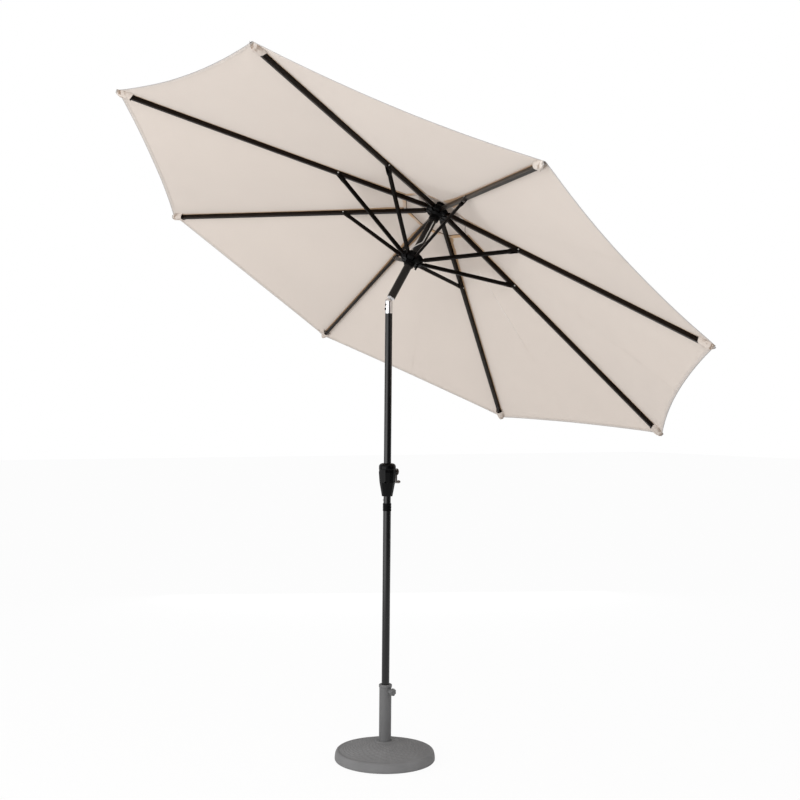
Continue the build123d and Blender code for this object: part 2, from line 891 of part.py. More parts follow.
def vent_cap():
    """Small canopy over the vent, parallel to the main one."""

    def pyramid(peak, radius):
        foot = peak - radius * tan(droop)
        polygon = Rot(0, 0, rib_phase) * RegularPolygon(radius, rib_count)
        inner = radius * cos(radians(half_gore))
        taper = degrees(atan2(inner, peak - foot))
        short = upper_radius / 2 * tan(droop)  # its point falls in the finial's hole
        return extrude(Pos(0, 0, foot) * polygon, amount=peak - foot - short, taper=taper)

    outer = pyramid(cap_peak() + fabric_thickness, vent_cap_radius)
    under = pyramid(cap_peak(), vent_cap_radius)
    return leaned * (outer - under - post(upper_radius, hub_top, cap_peak() + 1))


def finial():
    """Turned knob on the pole's top, which holds the vent cap down."""
    seat = cap_peak() + fabric_thickness - upper_radius * tan(droop)
    neck = (finial_radius - finial_neck, 0, seat + finial_flange + 5)
    swell = (finial_radius, 0, seat + finial_height * 0.45)
    tip = (finial_tip_radius, 0, seat + finial_height - 1)
    knob = face_of(
        Polyline(
            (0, 0, upper_top),
            (upper_radius, 0, upper_top),
            (upper_radius, 0, seat),
            (finial_radius + 4, 0, seat),
            (finial_radius + 4, 0, seat + finial_flange),
            neck,
        ),
        TangentArc(swell, neck, tangent=(0, 0, -1)),
        TangentArc(swell, tip, tangent=(0, 0, 1)),
        Polyline(tip, (finial_tip_radius - 1, 0, tip[2] + 1), (0, 0, tip[2] + 1), (0, 0, upper_top)),
    )
    return leaned * revolve(knob, Axis.Z)


# Cord


def lift_cord_lower():
    """From the spool up the middle of the pole to the tilt joint."""
    start = Vector(0, spool_radius + cord_radius + cord_gap, crank_height)
    end = Vector(0, 0, tilt_height - knuckle_radius - 3)
    return sweep(Plane(start, z_dir=end - start) * Circle(cord_radius), Line(start, end))


def rounded_path(points):
    """Straight runs through these points, joined by arcs as wide as the runs allow."""
    edges = []
    last = points[0]
    for before, corner, after in zip(points, points[1:], points[2:]):
        back = (before - corner).normalized()
        ahead = (after - corner).normalized()
        setback = 0.45 * min((before - corner).length, (after - corner).length)
        half_turn = (180 - back.get_angle(ahead)) / 2
        radius = setback / tan(radians(half_turn))
        inward = (back + ahead).normalized() * (radius / cos(radians(half_turn)) - radius)
        start, end = corner + back * setback, corner + ahead * setback
        edges += [Line(last, start), ThreePointArc(start, corner + inward, end)]
        last = end
    return [*edges, Line(last, points[-1])]


def lift_cord():
    """Up inside the upper pole, over the pulley, then round the pole's outside to the runner."""
    start = around(cord_side) * Pos(pulley_offset - cord_bend, 0, upper_foot + 2)
    over = [
        (around(cord_side) * Pos(x, 0, pulley_height + z)).position
        for x, z in (
            (pulley_offset - cord_bend, 0),
            (pulley_offset, cord_bend),
            (pulley_offset + cord_bend, 0),
        )
    ]
    outside = [over[2]]
    outside += [(around(side) * Pos(cord_reach + cord_gap, 0, z)).position for side, z in cord_wrap]
    end = runner_top + runner_sleeve_top + running_fit
    outside.append(Vector(outside[-1].X, outside[-1].Y, end))
    path = Wire([Line(start.position, over[0]), ThreePointArc(*over), *rounded_path(outside)])
    return leaned * sweep(start * Circle(cord_radius), path)


if __name__ == "__main__":
    save("base_disc", base_disc())
    save("base_tube", base_tube())
    save("base_sleeve", base_sleeve())
    save("clamp_knob", clamp_knob())
    save("lower_pole", lower_pole())
    save("pole_collar", pole_collar())
    save("snap_button", snap_button())
    save("middle_pole", middle_pole())
    save("housing_left", housing_half(1))
    save("housing_right", housing_half(-1))
    save("housing_screws", *housing_screws())
    save("crank_spool", crank_spool())
    save("crank_arm", crank_arm())
    save("crank_knob", crank_knob())
    save("lower_knuckle", lower_knuckle())
    save("tilt_button", tilt_button())
    save("pivot_pin", pivot_pin())
    save("upper_knuckle", upper_knuckle())
    save("upper_pole", upper_pole())
    save("hub", hub())
    save("hub_pins", *hub_pins())
    save("pulley", pulley())
    save("runner", runner())
    save("runner_pins", *runner_pins())
    save("vent_cap", vent_cap())
    save("finial", finial())
    save("lift_cord_lower", lift_cord_lower())
    save("lift_cord", lift_cord())
    rib_solids = rib()
    strut_solids = strut()
    left_panel = panel(1)
    right_panel = panel(-1)
    for number in range(rib_count):
        save(f"rib_{number + 1}", *[rib_place(number) * solid for solid in rib_solids])
        save(f"strut_{number + 1}", *[strut_place(number) * solid for solid in strut_solids])
        save(f"panel_{number + 1}_left", rib_place(number) * left_panel)
        save(f"panel_{number + 1}_right", rib_place(number) * right_panel)
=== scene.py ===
import json
from math import acos, atan2, cos, exp, hypot, pi, radians, sin, sqrt, tan

import bpy
from mathutils import Matrix, Vector, noise

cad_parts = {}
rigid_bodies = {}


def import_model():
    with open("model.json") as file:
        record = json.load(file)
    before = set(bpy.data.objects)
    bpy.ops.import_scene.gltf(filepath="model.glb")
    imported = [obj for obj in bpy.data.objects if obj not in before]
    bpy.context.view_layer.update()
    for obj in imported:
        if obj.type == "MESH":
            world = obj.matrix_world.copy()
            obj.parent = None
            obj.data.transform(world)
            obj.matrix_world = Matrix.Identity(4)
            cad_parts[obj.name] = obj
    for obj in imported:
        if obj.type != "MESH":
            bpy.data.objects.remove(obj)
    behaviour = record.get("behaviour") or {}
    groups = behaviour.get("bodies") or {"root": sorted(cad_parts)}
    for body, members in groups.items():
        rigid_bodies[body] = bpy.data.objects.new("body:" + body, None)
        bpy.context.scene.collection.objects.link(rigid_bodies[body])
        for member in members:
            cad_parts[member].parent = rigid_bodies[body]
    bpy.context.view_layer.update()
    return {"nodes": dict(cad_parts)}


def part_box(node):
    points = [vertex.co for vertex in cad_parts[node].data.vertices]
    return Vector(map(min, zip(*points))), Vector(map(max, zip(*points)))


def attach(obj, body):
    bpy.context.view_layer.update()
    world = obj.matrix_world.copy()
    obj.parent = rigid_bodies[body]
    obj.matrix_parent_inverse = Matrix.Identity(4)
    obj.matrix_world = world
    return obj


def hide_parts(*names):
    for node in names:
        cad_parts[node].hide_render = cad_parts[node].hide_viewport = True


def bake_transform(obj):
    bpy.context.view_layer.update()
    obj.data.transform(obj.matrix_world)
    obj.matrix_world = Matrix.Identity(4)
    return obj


for leftOver in list(bpy.data.objects):
    bpy.data.objects.remove(leftOver)
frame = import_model()
scene = bpy.context.scene
scene.view_settings.view_transform = "Standard"
print("frame loaded:", len(frame["nodes"]), "nodes")

# Camera, where a person stands in front and to the left of the leaning canopy
viewing = {
    "place": (-2.49739, -4.10513, 1.42070),
    "forward": (0.52846794, 0.84887231, 0.01172338),
    "up": (-0.01375143, -0.00524805, 0.99989167),
    "lens": 52.385,
    "sensor": 36.0,
}


def makeCamera():
    data = bpy.data.cameras.new("camera")
    data.lens = viewing["lens"]
    data.sensor_width = viewing["sensor"]
    data.clip_end = 200
    camera = bpy.data.objects.new("camera", data)
    back = -Vector(viewing["forward"])
    up = Vector(viewing["up"])
    side = up.cross(back)
    turn = Matrix((side, up, back)).transposed().to_4x4()
    camera.matrix_world = Matrix.Translation(viewing["place"]) @ turn
    scene.collection.objects.link(camera)
    scene.camera = camera


makeCamera()

# Measures of the frame that the cloth and the cord are fitted to, in metres and degrees
canopy = {
    "tiltHeight": 1.883,
    "tiltAngle": 31.0,
    "ribs": 8,
    "ribPhase": 29.4,
    "pinCircle": 0.0415,
    "hubHeight": 0.461,
    "droop": 13.65,
    "reach": 1.346,  # hinge pin to the corner of the cloth
    "clothHeight": 0.0106,  # above the middle of the ribs
    "ventRadius": 0.150,
    "scallop": 0.030,
    "dip": 0.016,  # how far a gore hangs in at its middle
    "ventDip": 0.12,  # share of the dip that is left at the vent
    "waves": 0.0030,
    "cornerFolds": 0.0022,
    "cornerFade": 0.16,
    "hem": 0.014,
    "rise": 0.0,
    "rows": 64,
    "columns": 26,
    "lap": 0.0022,  # of the two halves of a gore, in radians
    "bendStart": 0.006,
    "bendWidth": 0.045,  # width of the cloth beside a rib
    "finish": "canopyCloth",
}
vent = {
    "radius": 0.385,
    "inner": 0.062,
    "rise": 0.018,  # above the gores
    "clearance": 0.003,  # what is left of the rise at the ribs
    "scallop": 0.012,
    "billow": 0.004,
    "waves": 0.0015,
    "hem": 0.010,
    "crownRadius": 0.105,
    "crownInner": 0.019,
    "crownAbove": 0.0046,
    "crownThickness": 0.0009,
    "crownArea": 0.0298,
    "rows": 26,
    "columns": 18,
    "lap": 0.0022,
    "finish": "capCloth",
}
hemTurn = [(0.0006, 0.0012), (-0.0004, 0.0005)]  # how far in from the edge and how far down, round the fold
hemDrop = 0.0013
lapLift = 0.0004
columnCrowding = 1.25  # columns stand closer together near a rib
unbound = 0.05  # further from the vent's edge than its binding reaches

spacing = 2 * pi / canopy["ribs"]
droop = radians(canopy["droop"])
leaned = Matrix.Translation((0, 0, canopy["tiltHeight"])) @ Matrix.Rotation(
    radians(canopy["tiltAngle"]), 4, "Y"
)
apexAlong = -(canopy["pinCircle"] + canopy["clothHeight"] * sin(droop)) / cos(droop)
apexHeight = canopy["hubHeight"] - apexAlong * sin(droop) + canopy["clothHeight"] * cos(droop)


def ribSide(number):
    return radians(canopy["ribPhase"]) + spacing * (number - 1)


def ribFrame(number):
    hinge = Matrix.Translation((canopy["pinCircle"], 0, canopy["hubHeight"]))
    turned = leaned @ Matrix.Rotation(ribSide(number), 4, "Z")
    return turned @ hinge @ Matrix.Rotation(droop, 4, "Y")


def ribLine(number):
    side = ribSide(number)
    return Vector((cos(side) * cos(droop), sin(side) * cos(droop), -sin(droop)))


halfAngle = acos(ribLine(1).dot(ribLine(2))) / 2  # a gore's half angle, in the flat cloth
cornerReach = canopy["reach"] - apexAlong
hemMiddle = cornerReach * cos(halfAngle) - canopy["scallop"]
hemRadius = ((cornerReach * sin(halfAngle)) ** 2 + canopy["scallop"] ** 2) / (2 * canopy["scallop"])


def hemReach(turn):
    aside = turn - halfAngle
    far = hemMiddle + hemRadius
    return far * cos(aside) - sqrt(hemRadius**2 - (far * sin(aside)) ** 2)


def ventReach(turn):
    start = canopy["ventRadius"] - canopy["pinCircle"] - apexAlong
    return start * cos(halfAngle) / cos(turn - halfAngle)


def gorePoint(number, reach, turn, lift, rise=0.0):
    along = ribLine(number)
    up = along.cross(ribLine(number + 1)).normalized()
    across = up.cross(along)
    apex = Vector((0, 0, apexHeight + rise / cos(droop)))
    return leaned @ (apex + reach * (cos(turn) * along + sin(turn) * across) + lift * up)


def makePiece(name, points, faces, maps=None):
    mesh = bpy.data.meshes.new(name)
    mesh.from_pydata([tuple(point) for point in points], [], faces)
    for title, places in (maps or {}).items():
        layer = mesh.uv_layers.new(name=title)
        for loop in mesh.loops:
            layer.data[loop.index].uv = places[loop.vertex_index]
    mesh.polygons.foreach_set("use_smooth", [True] * len(mesh.polygons))
    piece = bpy.data.objects.new(name, mesh)
    scene.collection.objects.link(piece)
    return piece


def gridFaces(rows, columns, closed=False, start=0):
    faces = []
    for row in range(rows - 1):
        for column in range(columns if closed else columns - 1):
            beside = (column + 1) % columns
            low, high = start + row * columns, start + (row + 1) * columns
            faces.append((low + column, low + beside, high + beside, high + column))
    return faces


def thicken(piece, thickness):
    shell = piece.modifiers.new("thickness", "SOLIDIFY")
    shell.thickness = thickness
    shell.offset = 0
    shell.use_rim = True


# Materials


def wire(tree, source, target):
    tree.links.new(source, target)


def addNode(tree, kind, inputs=None, **settings):
    node = tree.nodes.new("ShaderNode" + kind)
    for key, value in settings.items():
        setattr(node, key, value)
    for key, value in (inputs or {}).items():
        if isinstance(value, bpy.types.NodeSocket):
            wire(tree, value, node.inputs[key])
        else:
            node.inputs[key].default_value = value
    return node


def calc(tree, operation, first, second=0.0, third=0.0, clamp=False):
    inputs = {0: first, 1: second, 2: third}
    return addNode(tree, "Math", inputs, operation=operation, use_clamp=clamp).outputs[0]


def mixColours(tree, share, first, second, blend="MIX"):
    node = addNode(tree, "Mix", data_type="RGBA", blend_type=blend)
    for socket, value in ((0, share), (6, first), (7, second)):
        if isinstance(value, bpy.types.NodeSocket):
            wire(tree, value, node.inputs[socket])
        elif socket == 0:
            node.inputs[socket].default_value = value
        else:
            node.inputs[socket].default_value = (*value, 1)
    return node.outputs[2]


# Values that the shader groups share, lengths in metres
detail = {
    "rubGain": 9.0,
    "rubSpeckle": 220.0,
    "slub": (18.0, 420.0, 1.0),  # per metre, across and along the threads
    "stitchInset": 0.011,
    "stitchPitch": 0.0035,
    "stitchHalf": 0.0005,
    "stitchShare": 0.72,
    "puckerWidth": 0.004,
    "roughSpread": 0.12,
    "bumpDepth": 0.0006,
}


def newGroup(name, inputs, outputs):
    group = bpy.data.node_groups.new(name, "ShaderNodeTree")
    for title, value in inputs:
        kind = "NodeSocketVector" if title == "Place" else "NodeSocketFloat"
        socket = group.interface.new_socket(title, in_out="INPUT", socket_type=kind)
        if value is not None:
            socket.default_value = value
    for title in outputs:
        group.interface.new_socket(title, in_out="OUTPUT", socket_type="NodeSocketFloat")
    entry = group.nodes.new("NodeGroupInput")
    leave = group.nodes.new("NodeGroupOutput")
    return group, entry, leave


def useGroup(tree, group, inputs=None):
    node = tree.nodes.new("ShaderNodeGroup")
    node.node_tree = group
    for key, value in (inputs or {}).items():
        if isinstance(value, bpy.types.NodeSocket):
            wire(tree, value, node.inputs[key])
        else:
            node.inputs[key].default_value = value
    return node


def makeGrainGroup():
    # Fine grain with broad soft patches, for paint, plastic and cast stone
    group, entry, leave = newGroup(
        "surfaceGrain",
        [("Place", None), ("Grain Size", 0.001), ("Patch Size", 0.08)],
        ["Grain", "Patches"],
    )
    fineScale = calc(group, "DIVIDE", 1.0, entry.outputs["Grain Size"])
    broadScale = calc(group, "DIVIDE", 1.0, entry.outputs["Patch Size"])
    fine = addNode(group, "TexNoise", {"Vector": entry.outputs["Place"], "Scale": fineScale, "Detail": 3.0})
    broad = addNode(group, "TexNoise", {"Vector": entry.outputs["Place"], "Scale": broadScale, "Detail": 2.0})
    wire(group, fine.outputs[0], leave.inputs["Grain"])
    wire(group, broad.outputs[0], leave.inputs["Patches"])
    return group


def makeWearGroup():
    # Rubbed edges: where the rounded normal leaves the flat one
    group, entry, leave = newGroup("edgeRub", [("Place", None), ("Width", 0.0012)], ["Rub"])
    rounded = addNode(group, "Bevel", {"Radius": entry.outputs["Width"]}, samples=4)
    flat = addNode(group, "NewGeometry")
    normals = {0: rounded.outputs[0], 1: flat.outputs["Normal"]}
    facing = addNode(group, "VectorMath", normals, operation="DOT_PRODUCT")
    away = calc(group, "SUBTRACT", 1.0, facing.outputs["Value"])
    speckle = addNode(
        group, "TexNoise", {"Vector": entry.outputs["Place"], "Scale": detail["rubSpeckle"], "Detail": 2.0}
    )
    broken = calc(group, "MULTIPLY", speckle.outputs[0], calc(group, "MULTIPLY", away, detail["rubGain"]))
    wire(group, calc(group, "MINIMUM", calc(group, "MAXIMUM", broken, 0.0), 1.0), leave.inputs["Rub"])
    return group


def makeWeaveGroup():
    # Plain weave of round threads, from a map in metres
    group, entry, leave = newGroup("plainWeave", [("Place", None), ("Thread", 0.0006)], ["Height", "Slub"])
    parts = addNode(group, "SeparateXYZ", {0: entry.outputs["Place"]})
    rate = calc(group, "DIVIDE", pi, entry.outputs["Thread"])
    waves = [calc(group, "MULTIPLY", parts.outputs[axis], rate) for axis in (0, 1)]
    warp = calc(group, "ABSOLUTE", calc(group, "SINE", waves[0]))
    weft = calc(group, "ABSOLUTE", calc(group, "SINE", waves[1]))
    cross = calc(group, "MULTIPLY", calc(group, "COSINE", waves[0]), calc(group, "COSINE", waves[1]))
    over = calc(group, "GREATER_THAN", cross, 0.0)
    under = calc(group, "SUBTRACT", 1.0, over)
    height = calc(group, "ADD", calc(group, "MULTIPLY", warp, over), calc(group, "MULTIPLY", weft, under))
    wire(group, height, leave.inputs["Height"])
    stretched = addNode(group, "Mapping", {"Vector": entry.outputs["Place"], "Scale": detail["slub"]})
    slub = addNode(group, "TexNoise", {"Vector": stretched.outputs[0], "Scale": 1.0, "Detail": 2.0})
    wire(group, slub.outputs[0], leave.inputs["Slub"])
    return group


def makeStitchGroup():
    # Lockstitch along a seam, from a map of metres along the seam and in from its edge
    group, entry, leave = newGroup(
        "seamStitch",
        [("Place", None), ("Inset", detail["stitchInset"]), ("Pitch", detail["stitchPitch"])],
        ["Thread", "Pucker"],
    )
    parts = addNode(group, "SeparateXYZ", {0: entry.outputs["Place"]})
    aside = calc(group, "ABSOLUTE", calc(group, "SUBTRACT", parts.outputs[1], entry.outputs["Inset"]))
    step = calc(group, "FRACT", calc(group, "DIVIDE", parts.outputs[0], entry.outputs["Pitch"]))
    near = calc(group, "LESS_THAN", aside, detail["stitchHalf"])
    shown = calc(group, "LESS_THAN", step, detail["stitchShare"])
    wire(group, calc(group, "MULTIPLY", near, shown), leave.inputs["Thread"])
    pucker = calc(group, "SUBTRACT", 1.0, calc(group, "DIVIDE", aside, detail["puckerWidth"]), clamp=True)
    wire(group, pucker, leave.inputs["Pucker"])
    return group


grainGroup = makeGrainGroup()
wearGroup = makeWearGroup()
weaveGroup = makeWeaveGroup()
stitchGroup = makeStitchGroup()

# One entry for each finish: colour and rubbed colour in linear light, roughness and relief
finishes = {
    "resin": {
        "colour": (0.17, 0.17, 0.172), "rubbed": (0.27, 0.27, 0.27), "rough": 0.72, "specular": 0.3,
        "grain": 0.0012, "patch": 0.06, "relief": 0.25, "spread": 0.16, "rub": 0.0025,
    },
    "grey_paint": {
        "colour": (0.116, 0.116, 0.118), "rubbed": (0.22, 0.22, 0.22), "rough": 0.5, "specular": 0.35,
        "grain": 0.0008, "patch": 0.1, "relief": 0.1, "spread": 0.08, "rub": 0.001,
    },
    "grey_plastic": {
        "colour": (0.12, 0.12, 0.122), "rubbed": (0.2, 0.2, 0.2), "rough": 0.45, "specular": 0.35,
        "grain": 0.0006, "patch": 0.05, "relief": 0.1, "spread": 0.1, "rub": 0.001,
    },
    "black_paint": {
        "colour": (0.0012, 0.0011, 0.0014), "rubbed": (0.03, 0.03, 0.03), "rough": 0.2, "specular": 0.42,
        "grain": 0.0005, "patch": 0.2, "relief": 0.03, "spread": 0.2, "rub": 0.0006,
    },
    "black_plastic": {
        "colour": (0.0024, 0.0022, 0.0024), "rubbed": (0.02, 0.02, 0.02), "rough": 0.34, "specular": 0.05,
        "grain": 0.0007, "patch": 0.05, "relief": 0.08, "spread": 0.2, "rub": 0.0008,
    },
    "housing_plastic": {
        "colour": (0.0012, 0.0011, 0.0013), "rubbed": (0.02, 0.02, 0.02), "rough": 0.15, "specular": 0.1,
        "grain": 0.0007, "patch": 0.05, "relief": 0.08, "spread": 0.2, "rub": 0.0008,
    },
    "strut_paint": {
        "colour": (0.0036, 0.0024, 0.0018), "rubbed": (0.03, 0.025, 0.02), "rough": 0.34, "specular": 0.05,
        "grain": 0.0005, "patch": 0.15, "relief": 0.03, "spread": 0.2, "rub": 0.0006,
    },
    "rib_paint": {
        "colour": (0.0062, 0.003, 0.0016), "rubbed": (0.05, 0.04, 0.03), "rough": 0.3, "specular": 0.12,
        "grain": 0.0005, "patch": 0.15, "relief": 0.03, "spread": 0.2, "rub": 0.0006,
    },
    "chrome": {
        "colour": (0.72, 0.72, 0.73), "rubbed": (0.8, 0.8, 0.8), "rough": 0.09, "specular": 0.5,
        "grain": 0.0008, "patch": 0.03, "relief": 0.01, "spread": 0.04, "rub": 0.0004, "metal": 1.0,
    },
    "crank_metal": {
        "colour": (0.2, 0.18, 0.17), "rubbed": (0.5, 0.48, 0.46), "rough": 0.24, "specular": 0.5,
        "grain": 0.0008, "patch": 0.02, "relief": 0.03, "spread": 0.15, "rub": 0.0005, "metal": 1.0,
    },
    "steel": {
        "colour": (0.55, 0.54, 0.53), "rubbed": (0.65, 0.65, 0.65), "rough": 0.3, "specular": 0.5,
        "grain": 0.0004, "patch": 0.02, "relief": 0.04, "spread": 0.12, "rub": 0.0004, "metal": 1.0,
    },
}


def newMaterial(name):
    material = bpy.data.materials.new(name)
    material.use_nodes = True
    material.node_tree.nodes.clear()
    return material, material.node_tree


def makeFinish(name, settings):
    material, tree = newMaterial(name)
    place = addNode(tree, "TexCoord").outputs["Object"]
    sizes = {"Place": place, "Grain Size": settings["grain"], "Patch Size": settings["patch"]}
    grain = useGroup(tree, grainGroup, sizes)
    wear = useGroup(tree, wearGroup, {"Place": place, "Width": settings["rub"]})
    spread = settings["spread"]
    light = tuple(min(1.0, value * (1 + spread)) for value in settings["colour"])
    dark = tuple(value * (1 - spread) for value in settings["colour"])
    base = mixColours(tree, grain.outputs["Patches"], dark, light)
    colour = mixColours(tree, wear.outputs["Rub"], base, settings["rubbed"])
    lowest = settings["rough"] - detail["roughSpread"] / 2
    rough = calc(tree, "MULTIPLY_ADD", grain.outputs["Patches"], detail["roughSpread"], lowest)
    bump = addNode(tree, "Bump", {"Height": grain.outputs["Grain"], "Strength": settings["relief"],
                                  "Distance": detail["bumpDepth"]})
    look = {
        "Base Color": colour,
        "Roughness": rough,
        "Normal": bump.outputs[0],
        "Metallic": settings.get("metal", 0.0),
        "Specular IOR Level": settings["specular"],
    }
    shader = addNode(tree, "BsdfPrincipled", look)
    addNode(tree, "OutputMaterial", {"Surface": shader.outputs[0]})
    return material


materials = {name: makeFinish(name, settings) for name, settings in finishes.items()}

cloth = {
    "light": (0.680, 0.605, 0.545),
    "shade": (0.645, 0.575, 0.520),
    "edge": (0.42, 0.42, 0.43),
    "hem": (0.66, 0.61, 0.57),
    # tan binding at the vent's edge, its orange a painted glow of light through the doubled cloth
    "bindingAndGlow": (0.58, 0.38, 0.22),
    # painted shade: dark brown line along the vent's edge, for the shadow in the gap there
    "ventGapShade": (0.10, 0.055, 0.028),
    # tan seam tape under the ribs, its orange a painted glow of light through the doubled cloth; the two tones
    # mix at random
    "seamLight": (0.52, 0.34, 0.20),
    "seamShade": (0.38, 0.23, 0.12),
    # painted shade: brown mixed into the grooves of the pocket's gathered cloth
    "crease": (0.20, 0.115, 0.060),
    "corner": (0.26, 0.24, 0.22),
    "thread": (0.80, 0.76, 0.71),
    "through": 0.15,  # share of light that comes through
    "capThrough": 0.42,
    "patches": 3.2,  # per metre
    "slubShare": 0.10,
    "threadWidth": 0.0007,
    "weaveDepth": 0.0004,
    "rimWidth": 0.0026,
    "rimShare": 0.8,
    "hemWidth": 0.0142,
    "hemShare": 0.5,
    "bindingGlowWidth": 0.018,
    "bindingGlowFade": (11.0, 5.0, -1.9),  # patches per metre, contrast and offset of what shows
    # width of the painted shade line at the vent's edge
    "ventGapShadeWidth": 0.0030,
    "rough": 0.9,
    "specular": 0.2,
    "sheen": 0.15,
    "sheenRough": 0.5,
}


def makeCloth(name, light, shade, through, ventEdgeMarks):
    # The last argument is 1 where the vent's edge is bound, with a painted orange glow on the binding and a
    # painted shade line at the edge
    material, tree = newMaterial(name)
    flat = addNode(tree, "UVMap", uv_map="flat").outputs[0]
    edge = addNode(tree, "UVMap", uv_map="edge").outputs[0]
    weave = useGroup(tree, weaveGroup, {"Place": flat, "Thread": cloth["threadWidth"]})
    stitch = useGroup(tree, stitchGroup, {"Place": edge})
    patches = addNode(tree, "TexNoise", {"Vector": flat, "Scale": cloth["patches"], "Detail": 2.0}).outputs[0]
    ground = mixColours(tree, patches, shade, light)
    slubbed = mixColours(tree, calc(tree, "MULTIPLY", weave.outputs["Slub"], cloth["slubShare"]), ground, shade)
    inward = addNode(tree, "SeparateXYZ", {0: edge}).outputs[1]
    rim = calc(tree, "LESS_THAN", inward, cloth["rimWidth"])
    double = calc(tree, "MULTIPLY", calc(tree, "LESS_THAN", inward, cloth["hemWidth"]), cloth["hemShare"])
    hemmed = mixColours(tree, double, slubbed, cloth["hem"])
    # Tan binding band at the vent's edge in random patches, its orange a painted glow of light through the
    # doubled cloth
    vented = addNode(tree, "SeparateXYZ", {0: addNode(tree, "UVMap", uv_map="bindingAndGlow").outputs[0]})
    fadeScale, contrast, offset = cloth["bindingGlowFade"]
    faded = addNode(tree, "TexNoise", {"Vector": flat, "Scale": fadeScale, "Detail": 1.0}).outputs[0]
    shown = calc(tree, "MULTIPLY_ADD", faded, contrast, offset, clamp=True)
    banded = calc(tree, "LESS_THAN", vented.outputs[1], cloth["bindingGlowWidth"])
    boundAndGlowing = calc(tree, "MULTIPLY", banded, calc(tree, "MULTIPLY", shown, ventEdgeMarks))
    hemmed = mixColours(tree, boundAndGlowing, hemmed, cloth["bindingAndGlow"])
    # Painted shade: a thin dark brown line right at the vent's edge, for the shadow in the gap
    gapShaded = calc(tree, "MULTIPLY", calc(tree, "LESS_THAN", vented.outputs[1], cloth["ventGapShadeWidth"]), ventEdgeMarks)
    hemmed = mixColours(tree, gapShaded, hemmed, cloth["ventGapShade"])
    # Painted shade: brown in the pocket's grooves from the crease map's first value; its second greys the
    # pocket's tip
    creaseShadeAndTip = addNode(tree, "SeparateXYZ", {0: addNode(tree, "UVMap", uv_map="crease").outputs[0]})
    hemmed = mixColours(tree, creaseShadeAndTip.outputs[0], hemmed, cloth["crease"])
    hemmed = mixColours(tree, creaseShadeAndTip.outputs[1], hemmed, cloth["corner"])
    rimmed = mixColours(tree, calc(tree, "MULTIPLY", rim, cloth["rimShare"]), hemmed, cloth["edge"])
    colour = mixColours(tree, stitch.outputs["Thread"], rimmed, cloth["thread"])
    woven = calc(tree, "MULTIPLY", weave.outputs["Height"], 0.5)
    height = calc(tree, "SUBTRACT", woven, calc(tree, "MULTIPLY", stitch.outputs["Pucker"], 0.8))
    bump = addNode(tree, "Bump", {"Height": height, "Strength": 0.5, "Distance": cloth["weaveDepth"]})
    look = {
        "Base Color": colour,
        "Roughness": cloth["rough"],
        "Normal": bump.outputs[0],
        "Specular IOR Level": cloth["specular"],
        "Sheen Weight": cloth["sheen"],
        "Sheen Roughness": cloth["sheenRough"],
    }
    shader = addNode(tree, "BsdfPrincipled", look)
    glow = addNode(tree, "BsdfTranslucent", {"Color": colour, "Normal": bump.outputs[0]})
    both = addNode(tree, "MixShader", {0: through, 1: shader.outputs[0], 2: glow.outputs[0]})
    addNode(tree, "OutputMaterial", {"Surface": both.outputs[0]})
    return material


for name, light, shade, through, ventEdgeMarks in (
    ("canopyCloth", "light", "shade", cloth["through"], 1.0),
    ("plainCloth", "light", "shade", cloth["through"], 0.0),
    ("capCloth", "light", "shade", cloth["capThrough"], 0.0),
    # seam tape cloth with the painted orange glow
    ("seamCloth", "seamLight", "seamShade", cloth["through"] / 2, 0.0),
):
    materials[name] = makeCloth(name, cloth[light], cloth[shade], through, ventEdgeMarks)

cordLook = {
    # the dark tone is painted shade in the grooves between the braid's strands
    "light": (0.62, 0.60, 0.57),
    "dark": (0.30, 0.29, 0.27),
    "strands": 8,
    "lay": 0.009,
    "rough": 0.75,
    "relief": 0.7,
}


def makeCordFinish():
    material, tree = newMaterial("braidedCord")
    braid = addNode(tree, "UVMap", uv_map="flat").outputs[0]
    parts = addNode(tree, "SeparateXYZ", {0: braid})
    along = calc(tree, "MULTIPLY", parts.outputs[1], 2 * pi / cordLook["lay"])
    around = calc(tree, "MULTIPLY", parts.outputs[0], pi * cordLook["strands"])
    left = calc(tree, "SINE", calc(tree, "ADD", along, around))
    right = calc(tree, "SINE", calc(tree, "SUBTRACT", along, around))
    height = calc(tree, "MULTIPLY_ADD", calc(tree, "MAXIMUM", left, right), 0.5, 0.5)
    # Painted shade: darker where the braid's strands dip into their grooves
    colour = mixColours(tree, height, cordLook["dark"], cordLook["light"])
    bump = addNode(
        tree, "Bump", {"Height": height, "Strength": cordLook["relief"], "Distance": detail["bumpDepth"]}
    )
    look = {"Base Color": colour, "Roughness": cordLook["rough"], "Normal": bump.outputs[0]}
    shader = addNode(tree, "BsdfPrincipled", look)
    addNode(tree, "OutputMaterial", {"Surface": shader.outputs[0]})
    return material


materials["cord"] = makeCordFinish()
# Pieces that look different from the rest of their slot, by how their names start
ownFinish = {
    "strut": "strut_paint",
    "housing": "housing_plastic",
    "crank_knob": "crank_metal",
    "crank_arm": "crank_metal",
}
print("materials made:", len(materials))

for name, node in frame["nodes"].items():
    slot = node.data.materials[0].name.split(".")[0]
    if slot in materials:
        start = [own for own in ownFinish if name.startswith(own)]
        node.data.materials[0] = materials[ownFinish[start[0]] if start else slot]

# Canopy


